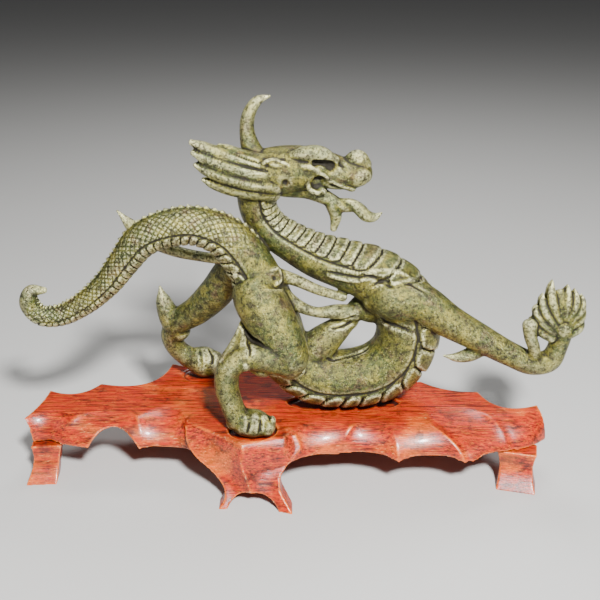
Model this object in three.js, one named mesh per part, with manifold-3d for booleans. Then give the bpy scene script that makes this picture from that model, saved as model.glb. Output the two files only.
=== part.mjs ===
// A cast bronze dragon standing on its carved, lacquered wooden stand.
// Millimetres, +Z up, +X towards the outstretched paw, -Y the side that is looked at.
// The origin is on the table, at the middle of the object's footprint.
import * as THREE from 'three';
import { mergeVertices } from 'three/addons/utils/BufferGeometryUtils.js';
import Module from 'manifold-3d';

const wasm = await Module();
wasm.setup();

// ---- driving dimensions ------------------------------------------------------------------
const STAND_TOP = 34;          // height of the flat top above the table
const SLAB_UNDERSIDE = 19.5;   // height of the slab's underside
const PIECE_GAP = 0.3;         // clearance between pieces that touch
const HEAD_PLANE_Y = 13;       // the head's middle plane at the height of the eyes
const HEAD_ROLL = 18;          // degrees that the crown leans away from the side looked at
const PLATE_PITCH = 0.92;      // length of a belly plate, in body radii
const PLATE_RISE = 0.075;      // how far a belly plate stands proud, in body radii
const CENTRE_SHIFT = 1.5;      // brings the middle of the footprint to the origin
const CREST_RISE = 0.16;       // height of the saw-edged ridge on the tail, in body radii

// Each strand of the casting is a row of stations: x, y, z and radius.
const SPINE = [
  [-23, 13, 160, 9], [-23, 15, 150, 9.5], [-21, 17, 140, 9.5], [-15, 17, 131.5, 9.5],
  [-4, 16, 124, 10.3], [9, 14, 117.5, 11.7], [25, 12, 112.5, 13.2], [39, 10, 107.5, 14.8],
  [52, 9, 97, 16.2], [58, 8, 80, 16.8], [54, 7, 63.5, 16.6], [43, 6, 53.5, 16.4],
  [27, 5, 49.8, 15.6], [11, 5, 50.5, 15.2], [-1, 5, 57, 14.6], [-9.5, 6, 69, 14.5],
  [-13.5, 6, 83, 14], [-18, 5, 99, 13], [-27, 5, 118, 12], [-38, 5, 131.5, 10.8],
  [-53, 5, 137.5, 9.8], [-68, 5, 136, 9.3], [-81, 5, 130, 8.6], [-91.5, 5, 117.5, 7.4],
  [-101, 5, 105.5, 6.6], [-115, 5, 93.5, 5.9], [-128, 5, 87, 5.5], [-138, 4, 87.5, 5.2],
  [-143.5, 4, 94.5, 5], [-141.3, 4, 101.2, 3.8], [-134.5, 4, 102, 1.8],
];
const TAIL_CREST_FROM = 0.62;  // share of the spine after which the saw-edged ridge runs

const LIMBS = {
  shoulder_and_arm: [
    [42, 6, 100, 11.5], [50, 1, 99, 12.5], [63, -1, 96.5, 11], [78.5, -4, 87.5, 8.9],
    [94.5, -6, 79, 7.6], [111, -7, 70, 6.6], [123, -8, 65.2, 6.4], [132, -8, 66.8, 6],
    [135.5, -8, 75, 5.2], [136.5, -8, 84, 6],
  ],
  elbow_spur: [[97, -6, 74, 4.5], [90, -6.5, 69.5, 3.9], [83, -7, 68, 2.6], [76, -7, 69, 0.6]],
  thumb: [[124, -9, 67, 3.4], [122, -12, 76, 3.2], [119, -13, 84, 3.4], [118.5, -12, 89.5, 4]],
  near_thigh: [[-18, 3, 111, 10], [-22, -2, 103.5, 13], [-16.5, -8, 93, 13.4], [-9, -13, 80, 12],
    [-5, -16, 70, 9.4], [-5.5, -16, 65, 6]],
  near_shank: [[-5, -16, 70, 8.6], [-16.5, -19, 74, 7.7], [-28, -21, 75, 6.7], [-36, -23, 70.5, 6.4],
    [-38, -23, 60, 6.4], [-35.5, -24, 49, 6], [-32, -24, 40, 6.4]],
  near_paw: [[-35, -23, 38.5, 5], [-30, -24, 38.5, 7.2], [-22.5, -25, 38.2, 7.4], [-17, -26, 37.2, 5.4]],
  near_calf_tuft: [[-18, -15, 70, 9], [-25, -13, 74, 8.5], [-29, -11, 81, 5.4], [-31, -8, 89, 0.8]],
  far_leg: [[-28, 12, 116, 8], [-37, 18, 107.5, 8.8], [-45.5, 24, 93, 9.4], [-58, 30, 78.5, 8.2],
    [-69, 34, 69.5, 7.2], [-74, 36, 60, 6.2], [-71.5, 37, 51, 5.8], [-65, 37, 45, 6]],
  far_paw: [[-67, 37, 44.5, 5], [-62, 37, 43.5, 7.5], [-55.5, 36, 42.5, 9], [-50, 35, 42, 7.4]],
  far_hock_spur: [[-69, 35, 63, 6.5], [-73.5, 34, 71, 6.4], [-77, 33, 83, 4.4], [-78.5, 33, 92, 0.6]],
  crescent_flame: [[-36, 9, 117, 3], [-53, 17, 116, 2.8], [-66.5, 19, 118.3, 3.2],
    [-80, 20, 124.5, 4], [-88, 20, 131, 3.8], [-96, 20, 140.5, 0.6]],
  upper_flame: [[-18, 3, 113, 4.2], [-2.5, 1, 109, 3.2], [9.5, 2, 103, 2.7], [23, 5, 97.5, 2.4]],
  lower_flame: [[-12, 3, 103, 4.2], [-1, 1, 94.5, 3.3], [8.5, 1, 90.7, 2.8], [19, 3, 90, 4],
    [29, 6, 88, 4.4]],
  far_foreleg: [[48, 14, 94, 12], [38, 12, 90, 10.5], [29, 9, 87, 5.6], [26, 8, 82, 5.2]],
  far_paw_on_coil: [[28, 9, 83, 4.4], [20, 6, 78, 7], [11, 5, 70, 9.4], [4, 5, 62, 10]],
};

const HEAD = {
  skull: [[-25, 13, 160, 8], [-20, 13, 163.2, 10.8], [-11, 13, 164.3, 12.2], [0, 13, 165.4, 11.5],
    [10, 13, 165.2, 9.8], [21, 13, 162.8, 8.4], [29, 13, 162.6, 7.2], [32.5, 13, 163, 5.5]],
  nose: [[25, 13, 168, 4.2], [29, 13, 170, 5], [32, 13, 166.5, 4.6]],
  jaw: [[-8, 13, 157, 6.5], [4, 13, 154.5, 5.2], [14, 13, 149.5, 3.8], [22, 13, 145.2, 3.1],
    [28.5, 13, 144, 1.8]],
  beard: [[16, 13, 148, 3.8], [18.5, 13, 140, 3.2], [17.5, 13, 133, 1.9]],
  tongue: [[21, 13, 148, 1.6], [26, 13, 147, 2.4], [30.5, 13, 143.8, 3.3], [34.5, 13, 140, 3.2],
    [38.5, 13, 139.4, 2.4], [42.5, 13, 141.8, 0.5]],
  horn: [[-22, 13, 170, 6], [-25, 15, 177, 4.9], [-26.5, 15, 184.5, 3.8], [-26, 15, 191, 3.5],
    [-24, 15, 196, 3.1], [-20.5, 15, 200, 2.4], [-15, 15, 202, 0.7]],
};
// Swept-back locks of the mane: root and tip, thickness, and how far they stand off the head.
const LOCKS = [
  { root: [-14, 168.5], tip: [-41, 177.2], thick: 4, off: 5 },
  { root: [-13, 165], tip: [-55, 179], thick: 4.4, off: 7.6 },
  { root: [-12, 160.5], tip: [-54.2, 173.6], thick: 4.6, off: 9.2 },
  { root: [-12, 156.2], tip: [-53, 167.4], thick: 4.6, off: 9.4 },
  { root: [-13, 152.6], tip: [-49.5, 159.8], thick: 4.2, off: 7.6 },
];
// Along a lock: share of its length, of its thickness and of its distance off the head.
const LOCK_SHAPE = [[0, 1, 0.8], [0.4, 0.95, 1], [0.78, 0.7, 0.97], [1, 0.15, 0.88]];
const LOCK_SAG = 2.2;          // how far the middle of a lock hangs below a straight line
const BROW = { from: [-1, 169.5], to: [13.5, 171.5], off: 7, radius: 3 };
const LIP_CURL = { centre: [9, 156.5], ring: 4, radius: 1.7, off: 8.3, from: 0.15, to: 1.65, steps: 5 };
const EAR = { centre: [-10, 167.5], half: [6.6, 2.4, 3.4], off: 10.8 };
const NOSTRIL_WING = { centre: [30, 163.5], half: [3.4, 3.4, 3.4], off: 4.8 };

const FLAME_PEARL = { centre: [136.2, -8, 96], half: [9.6, 6.4, 13.5], lean: -12, ball: 7.4, ballZ: 87 };
// Flames round the pearl, from its centre: the tip across and up, and how high the root is.
const FLAMES = [
  { tip: [-15.6, -3.5], root: -14 }, { tip: [-14.2, 3.4], root: -11 }, { tip: [-11.6, 9.8], root: -8 },
  { tip: [-7.6, 17.4], root: -4 }, { tip: [0.6, 14.6], root: -2 }, { tip: [4.2, 12.4], root: -3 },
  { tip: [8.2, 9.2], root: -5 }, { tip: [10.2, 3.4], root: -8 }, { tip: [9.8, -4], root: -12 },
];
const FLAME_SHAPE = [[0.4, 0, 3.4], [0.85, 0.45, 2.6], [1, 1, 0.4]]; // across, up and radius

// ---- the stand ---------------------------------------------------------------------------
// Crests round the slab's edge, counterclockwise from the left tip. A crest runs from the flat
// top down to its foot; the hollow after it bites into the top edge (bay) and the lower edge
// (under), which rises there (lift).
const CRESTS = [
  { top: [-150, -13], foot: [-145.5, -15], bay: 7, under: 2, lift: 1 },
  { top: [-120, -10], foot: [-130, -17], bay: 6, under: -3, lift: 1 },
  { top: [-88.4, -10.8], foot: [-84.5, -21], bay: 15, under: 1, lift: 1.5 },
  { top: [-60.2, -17.2], foot: [-60, -22], bay: 0.4, under: 0.4, lift: 0 },
  { top: [-30.2, -38.5], foot: [-29, -42], bay: 0.4, under: 0.4, lift: 0 },
  { top: [-7.8, -30.7], foot: [-7.8, -37], bay: 10, under: 2, lift: 2 },
  { top: [27.9, -20.9], foot: [22, -27], bay: 5.5, under: 3, lift: 2 },
  { top: [48.3, -18.4], foot: [51.8, -34], bay: 1.5, under: 4, lift: 2.5 },
  { top: [70.5, -20.5], foot: [86.5, -34.5], bay: 0.4, under: 0.4, lift: 0 },
  { top: [65.7, -7.4], foot: [91.5, -33.5], bay: 9, under: 1, lift: 2 },
  { top: [101.5, -9], foot: [112, -24], bay: 0.4, under: 0.4, lift: 0 },
  { top: [109, -8], foot: [116.5, -22.5], bay: 0.4, under: -2, lift: 1 },
  { top: [131.6, -4], foot: [134.5, -11], bay: 0.4, under: 0.4, lift: 0 },
  { top: [131.5, 2], foot: [133.5, 3], bay: 11, under: 9, lift: 2 },
  { top: [101, 16], foot: [103, 19], bay: 4, under: 3, lift: 2 },
  { top: [70, 28], foot: [71, 31], bay: 6, under: 4, lift: 2 },
  { top: [37, 38], foot: [38, 41], bay: 3, under: 2, lift: 2 },
  { top: [-12, 48.5], foot: [-12, 51], bay: 3, under: 2, lift: 2 },
  { top: [-58, 43], foot: [-58, 45.5], bay: 0.4, under: 0.4, lift: 1 },
  { top: [-77, 50], foot: [-77, 52], bay: 14, under: 12, lift: 2 },
  { top: [-115, 25.5], foot: [-116, 28], bay: 8, under: 6, lift: 2 },
  { top: [-142.5, 18], foot: [-143.5, 19.5], bay: 1.5, under: 1, lift: 1 },
];
const SKIRT_ROUND = 0.75;      // how far the edge rolls over, from straight to a quarter round
const CHAMFER = 0.8;           // how far the flat underside stays in from the lower edge
const ARCH = { at: [-100.5, -20, 12], half: [15, 26, 18] };  // cut up into the edge from below
// The cloven front leg, carved in one with the slab: its left edge, middle crest and right edge
// at several heights, and how far the hollows between them bite in.
const LEG_SECTIONS = [
  { z: 33, left: [-61.5, -19.5], middle: [-31, -38.5], right: [-2, -28], bay: 2.5 },
  { z: 26.5, left: [-60, -26.5], middle: [-30.5, -41.3], right: [0.5, -32], bay: 2.5 },
  { z: 20.5, left: [-54.5, -31.5], middle: [-29.5, -43], right: [-6, -37], bay: 2.5 },
  { z: 15, left: [-46.5, -35.5], middle: [-27.5, -44], right: [-10, -41.5], bay: 2 },
  { z: 9, left: [-40.5, -40], middle: [-25.5, -45.5], right: [-9.8, -45.5], bay: 1.5 },
  { z: 4, left: [-39.5, -44.5], middle: [-24.5, -46.5], right: [-6.5, -49], bay: 1 },
  { z: 0, left: [-42.5, -48], middle: [-24, -47.5], right: [-3.5, -52.2], bay: 0.6 },
];
const LEG_THICKNESS = { top: 17, toes: 10.5 };
const LEG_ARCH = { at: [-24.3, -45, -4], half: [14, 30, 12] };
const RECESSES = [             // pockets that the casting stands in: centre, half size, depth
  { at: [-25, -24.5], half: [13.5, 12.5], depth: 3.6 },
  { at: [-56, 36.5], half: [13, 9.5], depth: 1.2 },
  { at: [24, 4.5], half: [31, 9.5], depth: 2.2 },
];
const FEET = {                 // glued-on feet: top centre, half size, toe flare and turn (degrees)
  foot_left: { at: [-138, -12], half: [8.2, 6], flare: [-3, -8], turn: 4 },
  foot_right: { at: [117.5, -19], half: [10.4, 6], flare: [1, -8], turn: -14 },
  foot_back_left: { at: [-76, 36], half: [8.5, 6], flare: [0, 6], turn: 0 },
  foot_back_right: { at: [72, 12], half: [8.5, 6], flare: [3, 6], turn: 0 },
};
const FOOT_WAIST = 0.16;       // how far a foot's waist is drawn in
const FOOT_SWEEP = 2.2;        // how late the toe's flare starts

const bronze = new THREE.MeshStandardMaterial({ color: 0x66683a, roughness: 0.5, metalness: 0.75 });
const lacquer = new THREE.MeshStandardMaterial({ color: 0x8e2f1a, roughness: 0.3, metalness: 0 });

// ---- solids ------------------------------------------------------------------------------

/** A closed three.js geometry as a solid that can be joined and cut. */
function toSolid(geometry) {
  const bare = geometry.clone();
  bare.deleteAttribute('normal');
  bare.deleteAttribute('uv');
  const merged = mergeVertices(bare, 1e-4);
  const vertProperties = new Float32Array(merged.attributes.position.array);
  const triVerts = new Uint32Array(merged.index.array);
  return new wasm.Manifold(new wasm.Mesh({ numProp: 3, vertProperties, triVerts }));
}

/** A named mesh made from a finished solid. */
function toMesh(name, shape, material) {
  const { vertProperties, triVerts } = shape.getMesh();
  const geometry = new THREE.BufferGeometry();
  geometry.setAttribute('position', new THREE.BufferAttribute(new Float32Array(vertProperties), 3));
  geometry.setIndex(new THREE.BufferAttribute(new Uint32Array(triVerts), 1));
  geometry.computeVertexNormals();
  const mesh = new THREE.Mesh(geometry, material);
  mesh.name = name;
  return mesh;
}

/** All solids of a list joined into one. */
function join(solids) {
  return solids.reduce((whole, next) => whole.add(next));
}

/** A stretched ball, turned about the upright axis (degrees) and about Y. */
function ball(centre, half, { turnZ = 0, turnY = 0, sides = 10, rows = 7 } = {}) {
  const geometry = new THREE.SphereGeometry(1, sides, rows);
  geometry.rotateX(Math.PI / 2);
  geometry.scale(...half);
  geometry.rotateY(THREE.MathUtils.degToRad(turnY));
  geometry.rotateZ(THREE.MathUtils.degToRad(turnZ));
  geometry.translate(...centre);
  return toSolid(geometry);
}

/** Places along a strand, a step apart in radii, the radius taken as no less than half the widest. */
function walk(stations, step) {
  const curve = new THREE.CatmullRomCurve3(stations.map(([x, y, z]) => new THREE.Vector3(x, y, z)));
  const radii = new THREE.SplineCurve(stations.map(([, , , r], i) => new THREE.Vector2(i, r)));
  const FINE = 60 * stations.length;
  const widest = Math.max(...stations.map(([, , , r]) => r));
  const rings = [];
  let travelled = Infinity;
  let last = curve.getPoint(0);
  for (let i = 0; i <= FINE; i += 1) {
    const u = i / FINE;
    const point = curve.getPoint(u);
    const radius = radii.getPoint(u).y;
    travelled += point.distanceTo(last);
    last = point;
    if (travelled >= step * Math.max(radius, widest / 2) || i === FINE) {
      rings.push({ u, point, radius, travel: curve.getTangent(u) });
      travelled = 0;
    }
  }
  return rings;
}

/**
 * A round-ended strand laid along its stations. The belly side is on the left of travel, and
 * relief(angle, ring index, share of length) may raise the skin, in radii; 0 is the belly.
 */
function strand(stations, { sides = 8, step = 1.7, relief = () => 0 } = {}) {
  const rings = walk(stations, step);
  const rows = rings.length + 3;
  const geometry = new THREE.SphereGeometry(1, sides, rows);
  const place = geometry.attributes.position;
  for (let row = 0; row <= rows; row += 1) {
    const index = Math.min(Math.max(row - 2, 0), rings.length - 1);
    const { u, point, radius, travel } = rings[index];
    const endward = row < 2 ? 2 - row : Math.max(row - (rings.length + 1), 0);
    const side = row < 2 ? -1 : 1;
    const round = [1, 0.7, 0][endward];
    const reach = [0, 0.5, 0.8][endward] * side * radius;
    const belly = new THREE.Vector3(-travel.z, 0, travel.x).normalize();
    const across = new THREE.Vector3().crossVectors(travel, belly).normalize();
    for (let k = 0; k <= sides; k += 1) {
      const angle = (2 * Math.PI * (k % sides)) / sides - Math.PI;
      const r = radius * round * (1 + relief(angle, index, u));
      const spot = point.clone()
        .addScaledVector(travel, reach)
        .addScaledVector(belly, r * Math.cos(angle))
        .addScaledVector(across, -r * Math.sin(angle));
      place.setXYZ(row * (sides + 1) + k, spot.x, spot.y, spot.z);
    }
  }
  return toSolid(geometry);
}

/** Belly plates that overlap like a saw, and the saw-edged ridge on the tail. */
function spineRelief(angle, index, share) {
  const onBelly = Math.abs(angle) < 0.9 ? Math.cos(angle * 1.2) : 0;
  const plate = index % 2 === 0 ? PLATE_RISE : -PLATE_RISE / 3;
  const onBack = share > TAIL_CREST_FROM && Math.abs(angle) > 3 ? 1 : 0;
  const saw = index % 2 === 0 ? CREST_RISE : CREST_RISE / 3;
  return onBelly * plate + onBack * saw;
}

/** Stations given about the head's upright middle plane, rolled over with the head. */
function onHead(stations) {
  const roll = THREE.MathUtils.degToRad(HEAD_ROLL);
  return stations.map(([x, y, z, r]) => {
    const side = y - HEAD_PLANE_Y;
    return [x, HEAD_PLANE_Y + side * Math.cos(roll), z - side * Math.sin(roll), r];
  });
}

/** One lock of the mane on one side of the head. */
function makeLock({ root, tip, thick, off }, side) {
  const stations = LOCK_SHAPE.map(([along, width, out]) => [
    root[0] + (tip[0] - root[0]) * along,
    HEAD_PLANE_Y + side * off * out,
    root[1] + (tip[1] - root[1]) * along - LOCK_SAG * 4 * along * (1 - along),
    thick * width,
  ]);
  return strand(onHead(stations), { sides: 5, step: 3 });
}

/** The curled end of the lips on one side of the head. */
function makeLipCurl(side) {
  const { centre: [cx, cz], ring, radius, off, from, to, steps } = LIP_CURL;
  const stations = Array.from({ length: steps + 1 }, (_, i) => {
    const turn = Math.PI * (from + ((to - from) * i) / steps);
    return [cx + ring * Math.cos(turn), HEAD_PLANE_Y + side * off, cz + ring * Math.sin(turn), radius];
  });
  return strand(onHead(stations), { sides: 5, step: 2.5 });
}

/** The brow over one eye. */
function makeBrow(side) {
  const { from, to, off, radius } = BROW;
  const middle = [(from[0] + to[0]) / 2, to[1] + 1];
  return strand(onHead([from, middle, to].map(([x, z]) =>
    [x, HEAD_PLANE_Y + side * off, z, radius])), { sides: 6 });
}

/** A stretched ball on one side of the head. */
function knob({ centre: [x, z], half, off }, side) {
  const [[px, py, pz]] = onHead([[x, HEAD_PLANE_Y + side * off, z, 0]]);
  return ball([px, py, pz], half, { sides: 8, rows: 5 });
}

/** The dragon's head with its horn, mane, ears, brows, lips, beard and tongue. */
function makeHead() {
  const parts = Object.values(HEAD).map((stations) => strand(onHead(stations), { sides: 7, step: 1.6 }));
  for (const side of [-1, 1]) {
    parts.push(...LOCKS.map((lock) => makeLock(lock, side)));
    parts.push(makeBrow(side), makeLipCurl(side), knob(EAR, side), knob(NOSTRIL_WING, side));
  }
  return join(parts);
}

/** The flaming pearl that the outstretched paw holds up, with its flame tips. */
function makePearl() {
  const { centre: [x, y, z], half, lean, ball: radius, ballZ } = FLAME_PEARL;
  const flames = FLAMES.map(({ tip: [across, up], root }) => strand(
    FLAME_SHAPE.map(([out, rise, r]) => [x + across * out, y, z + root + (up - root) * rise, r]),
    { sides: 5, step: 3 }));
  return join([
    ball([x, y, ballZ], [radius, radius, radius]),
    ball([x, y, z], half, { turnY: lean }),
    ...flames,
  ]);
}

/** The whole casting: body, limbs, flames, head and pearl. */
function makeDragon() {
  const body = strand(SPINE, { sides: 10, step: PLATE_PITCH / 2, relief: spineRelief });
  const limbs = Object.values(LIMBS).map((stations) => strand(stations));
  return join([body, ...limbs, makeHead(), makePearl()]);
}

/** A place between two others, moved to the left of the way between them. */
function along([ax, ay], [bx, by], share, bite) {
  const length = Math.hypot(bx - ax, by - ay);
  const [dx, dy] = [(bx - ax) / length, (by - ay) / length];
  return [ax + (bx - ax) * share - dy * bite, ay + (by - ay) * share + dx * bite];
}

/** One ring round the slab's edge, from 0 at the flat top to 1 at the lower edge. */
function skirtRing(down, perBay) {
  const out = SKIRT_ROUND * Math.sin((down * Math.PI) / 2) + (1 - SKIRT_ROUND) * down;
  const drop = SKIRT_ROUND * (1 - Math.cos((down * Math.PI) / 2)) + (1 - SKIRT_ROUND) * down;
  return CRESTS.flatMap((crest, i) => {
    const next = CRESTS[(i + 1) % CRESTS.length];
    return Array.from({ length: perBay }, (_, k) => {
      const share = k / perBay;
      const bow = 4 * share * (1 - share);
      const [tx, ty] = along(crest.top, next.top, share, crest.bay * bow);
      const [fx, fy] = along(crest.foot, next.foot, share, crest.under * bow);
      const low = SLAB_UNDERSIDE + crest.lift * bow;
      return [tx + (fx - tx) * out, ty + (fy - ty) * out, STAND_TOP - (STAND_TOP - low) * drop];
    });
  });
}

/** A ring moved inwards and laid flat at one height. */
function drawIn(ring, distance, height) {
  return ring.map(([x, y], i) => {
    const [ax, ay] = ring[(i + ring.length - 1) % ring.length];
    const [bx, by] = ring[(i + 1) % ring.length];
    const length = Math.hypot(bx - ax, by - ay);
    return [x - ((by - ay) / length) * distance, y + ((bx - ax) / length) * distance, height];
  });
}

/** A solid lofted through rings of equal length, from the top one down, closed flat at its ends. */
function loft(rings) {
  const around = rings[0].length;
  const index = [];
  for (let row = 0; row + 1 < rings.length; row += 1) {
    for (let k = 0; k < around; k += 1) {
      const [a, b] = [row * around + k, row * around + ((k + 1) % around)];
      index.push(a, a + around, b, b, a + around, b + around);
    }
  }
  const cap = (ring) => THREE.ShapeUtils.triangulateShape(ring.map(([x, y]) => new THREE.Vector2(x, y)), []);
  for (const [a, b, c] of cap(rings[0])) index.push(a, b, c);
  const last = around * (rings.length - 1);
  for (const [a, b, c] of cap(rings.at(-1))) index.push(last + a, last + c, last + b);
  const geometry = new THREE.BufferGeometry();
  geometry.setAttribute('position', new THREE.Float32BufferAttribute(rings.flat(2), 3));
  geometry.setIndex(index);
  return toSolid(geometry);
}

/** The slab, lofted down its crests and hollows from the flat top to the underside. */
function makeSlab({ perBay = 4, rows = 3 } = {}) {
  const rings = Array.from({ length: rows + 1 }, (_, row) => skirtRing(row / rows, perBay));
  return loft([...rings, drawIn(rings[rows], CHAMFER, SLAB_UNDERSIDE)]);
}

/** The cloven front leg, lofted down its sections, with the arch between its toes. */
function makeLeg({ perHollow = 4 } = {}) {
  const rings = LEG_SECTIONS.map(({ z, left, middle, right, bay }) => {
    const thick = LEG_THICKNESS.toes + ((LEG_THICKNESS.top - LEG_THICKNESS.toes) * z) / STAND_TOP;
    const front = [[left, middle], [middle, right]].flatMap(([from, to]) =>
      Array.from({ length: perHollow }, (_, k) => {
        const share = k / perHollow;
        return along(from, to, share, bay * 4 * share * (1 - share));
      }));
    const back = [right, middle, left].map(([x, y]) => [x, y + thick]);
    return [...front, right, ...back].map(([x, y]) => [x, y, z]);
  });
  return loft(rings).subtract(ball(LEG_ARCH.at, LEG_ARCH.half, { sides: 16, rows: 12 }));
}

/** The slab with its scalloped edge, front leg and the pockets for the casting. */
function makeStandTop() {
  let top = makeSlab().add(makeLeg()).subtract(ball(ARCH.at, ARCH.half, { sides: 16, rows: 12 }));
  for (const { at, half, depth } of RECESSES) {
    const pocket = new THREE.Shape().absellipse(...at, ...half, 0, 2 * Math.PI);
    const cut = new THREE.ExtrudeGeometry(pocket, {
      depth: STAND_TOP, bevelEnabled: false, curveSegments: 12,
    });
    cut.translate(0, 0, STAND_TOP - depth);
    top = top.subtract(toSolid(cut));
  }
  return top;
}

/** A glued-on foot: a block whose toe flares outwards and whose waist is drawn in. */
function makeFoot({ at: [x, y], half: [wide, deep], flare: [outX, outY], turn }) {
  const height = SLAB_UNDERSIDE - PIECE_GAP;
  const geometry = new THREE.BoxGeometry(2 * wide, 2 * deep, height, 1, 1, 5);
  const place = geometry.attributes.position;
  for (let i = 0; i < place.count; i += 1) {
    const down = Math.max(0.5 - place.getZ(i) / height, 0);
    const waist = 1 - FOOT_WAIST * Math.sin(Math.PI * down);
    const swing = down ** FOOT_SWEEP;
    place.setX(i, place.getX(i) * waist + outX * swing);
    place.setY(i, place.getY(i) * waist + outY * swing);
  }
  geometry.rotateZ(THREE.MathUtils.degToRad(turn));
  geometry.translate(x, y, height / 2);
  return toSolid(geometry);
}

const group = new THREE.Group();
group.position.x = CENTRE_SHIFT;
group.add(toMesh('dragon', makeDragon(), bronze));
group.add(toMesh('stand_top', makeStandTop(), lacquer));
for (const [name, foot] of Object.entries(FEET)) {
  group.add(toMesh(name, makeFoot(foot), lacquer));
}

export default group;
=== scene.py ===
"""A cast bronze dragon with a green patina, standing on its carved and lacquered stand.

The casting is laid up from the same stations as its solid, fused into one skin, tooled
with strokes and dents as a chaser would, and finished with a procedural patina.
"""
import logging
import math
from collections.abc import Iterable, Sequence
from dataclasses import dataclass, field
from enum import Enum

import bpy
import numpy as np
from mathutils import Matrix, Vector


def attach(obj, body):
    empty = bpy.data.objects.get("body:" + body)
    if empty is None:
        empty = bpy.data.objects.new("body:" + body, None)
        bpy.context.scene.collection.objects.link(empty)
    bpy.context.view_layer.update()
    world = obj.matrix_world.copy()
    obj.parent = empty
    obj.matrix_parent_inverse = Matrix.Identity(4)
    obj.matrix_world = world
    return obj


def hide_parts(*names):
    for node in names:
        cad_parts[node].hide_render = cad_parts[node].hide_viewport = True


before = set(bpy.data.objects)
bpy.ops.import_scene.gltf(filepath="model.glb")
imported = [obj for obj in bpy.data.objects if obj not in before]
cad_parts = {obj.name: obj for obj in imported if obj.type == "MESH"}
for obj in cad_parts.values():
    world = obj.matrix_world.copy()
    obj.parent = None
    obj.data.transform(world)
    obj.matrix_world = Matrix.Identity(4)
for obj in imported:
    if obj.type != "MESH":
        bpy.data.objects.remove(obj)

LOG = logging.getLogger("dragon")
MM = 0.001                      # the sizes below are in millimetres
CENTRE_SHIFT = 1.5              # the drawing's own origin sits this far left of the frame's
STAND_TOP = 34.0                # height of the stand's flat top

Station = tuple[float, float, float, float]
Point = tuple[float, float, float]


# ---- small tools ---------------------------------------------------------------------------

def deselect_all() -> None:
    """Leaves nothing selected, so that an operator acts only on what is added next."""
    bpy.ops.object.select_all(action="DESELECT")


def choose(piece: bpy.types.Object) -> None:
    """Makes one piece the only selected and active one."""
    deselect_all()
    piece.select_set(True)
    bpy.context.view_layer.objects.active = piece


def apply_modifier(piece: bpy.types.Object, kind: str, **settings: object) -> None:
    """Adds a modifier to a piece, sets it and applies it.

    Args:
        piece: the piece to change.
        kind: the modifier's type.
        settings: its properties by name.
    """
    choose(piece)
    modifier = piece.modifiers.new(kind.title(), kind)
    for name, value in settings.items():
        setattr(modifier, name, value)
    bpy.ops.object.modifier_apply(modifier=modifier.name)


def join_all(pieces: Sequence[bpy.types.Object], name: str) -> bpy.types.Object:
    """Joins several objects into the first one.

    Returns:
        The joined object, renamed.
    """
    choose(pieces[0])
    for piece in pieces:
        piece.select_set(True)
    bpy.ops.object.join()
    whole = bpy.context.object
    whole.name = whole.data.name = name
    return whole


def to_metres(points: np.ndarray) -> np.ndarray:
    """Drawing millimetres as metres in the shared frame."""
    return (points + np.array([CENTRE_SHIFT, 0, 0])) * MM


def read_points(piece: bpy.types.Object) -> np.ndarray:
    """A piece's vertices as drawing millimetres, one row each."""
    flat = np.empty(3 * len(piece.data.vertices), np.float32)
    piece.data.vertices.foreach_get("co", flat)
    return flat.reshape(-1, 3).astype(float) / MM - np.array([CENTRE_SHIFT, 0, 0])


def write_points(piece: bpy.types.Object, points: np.ndarray) -> None:
    """Puts drawing millimetres back as a piece's vertices."""
    piece.data.vertices.foreach_set("co", to_metres(points).astype(np.float32).ravel())
    piece.data.update()


def smoothstep(low: float, high: float, value: np.ndarray) -> np.ndarray:
    """0 below low, 1 above high, and an even slope between them."""
    share = np.clip((value - low) / (high - low), 0, 1)
    return share * share * (3 - 2 * share)


def hermite(t: np.ndarray, a: np.ndarray, b: np.ndarray, ta: np.ndarray, tb: np.ndarray) -> np.ndarray:
    """A cubic from a to b, at t from 0 to 1, with tangents ta and tb."""
    return (
        (2 * t**3 - 3 * t**2 + 1) * a + (t**3 - 2 * t**2 + t) * ta
        + (3 * t**2 - 2 * t**3) * b + (t**3 - t**2) * tb
    )


def through(points: Sequence[Sequence[float]], per_span: int = 24, even: bool = False) -> np.ndarray:
    """A smooth curve through points.

    Args:
        points: what it passes through, in any number of dimensions.
        per_span: how many samples lie between two points.
        even: True for the uniform curve, False for the centripetal one.

    Returns:
        The samples, one row each, the last point included.
    """
    knots = np.array(points, float)
    if even:
        padded = np.vstack([knots[:1], knots, knots[-1:]])
    else:
        padded = np.vstack([2 * knots[:1] - knots[1:2], knots, 2 * knots[-1:] - knots[-2:-1]])
    t = np.linspace(0, 1, per_span, endpoint=False)[:, None]
    spans = []
    for p0, p1, p2, p3 in zip(padded, padded[1:], padded[2:], padded[3:]):
        if even:
            ta, tb = (p2 - p0) / 2, (p3 - p1) / 2
        else:
            d0, d1, d2 = (max(math.sqrt(np.linalg.norm(b - a)), 1e-4)
                          for a, b in ((p0, p1), (p1, p2), (p2, p3)))
            ta = ((p1 - p0) / d0 - (p2 - p0) / (d0 + d1) + (p2 - p1) / d1) * d1
            tb = ((p2 - p1) / d1 - (p3 - p1) / (d1 + d2) + (p3 - p2) / d2) * d1
        spans.append(hermite(t, p1, p2, ta, tb))
    return np.vstack([*spans, knots[-1:]])


def arc_lengths(points: np.ndarray) -> np.ndarray:
    """Distance travelled along a row of points, from 0."""
    return np.concatenate([[0], np.cumsum(np.linalg.norm(np.diff(points, axis=0), axis=1))])


def unit(vectors: np.ndarray) -> np.ndarray:
    """Rows scaled to length 1."""
    return vectors / np.maximum(np.linalg.norm(vectors, axis=1, keepdims=True), 1e-9)


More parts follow.
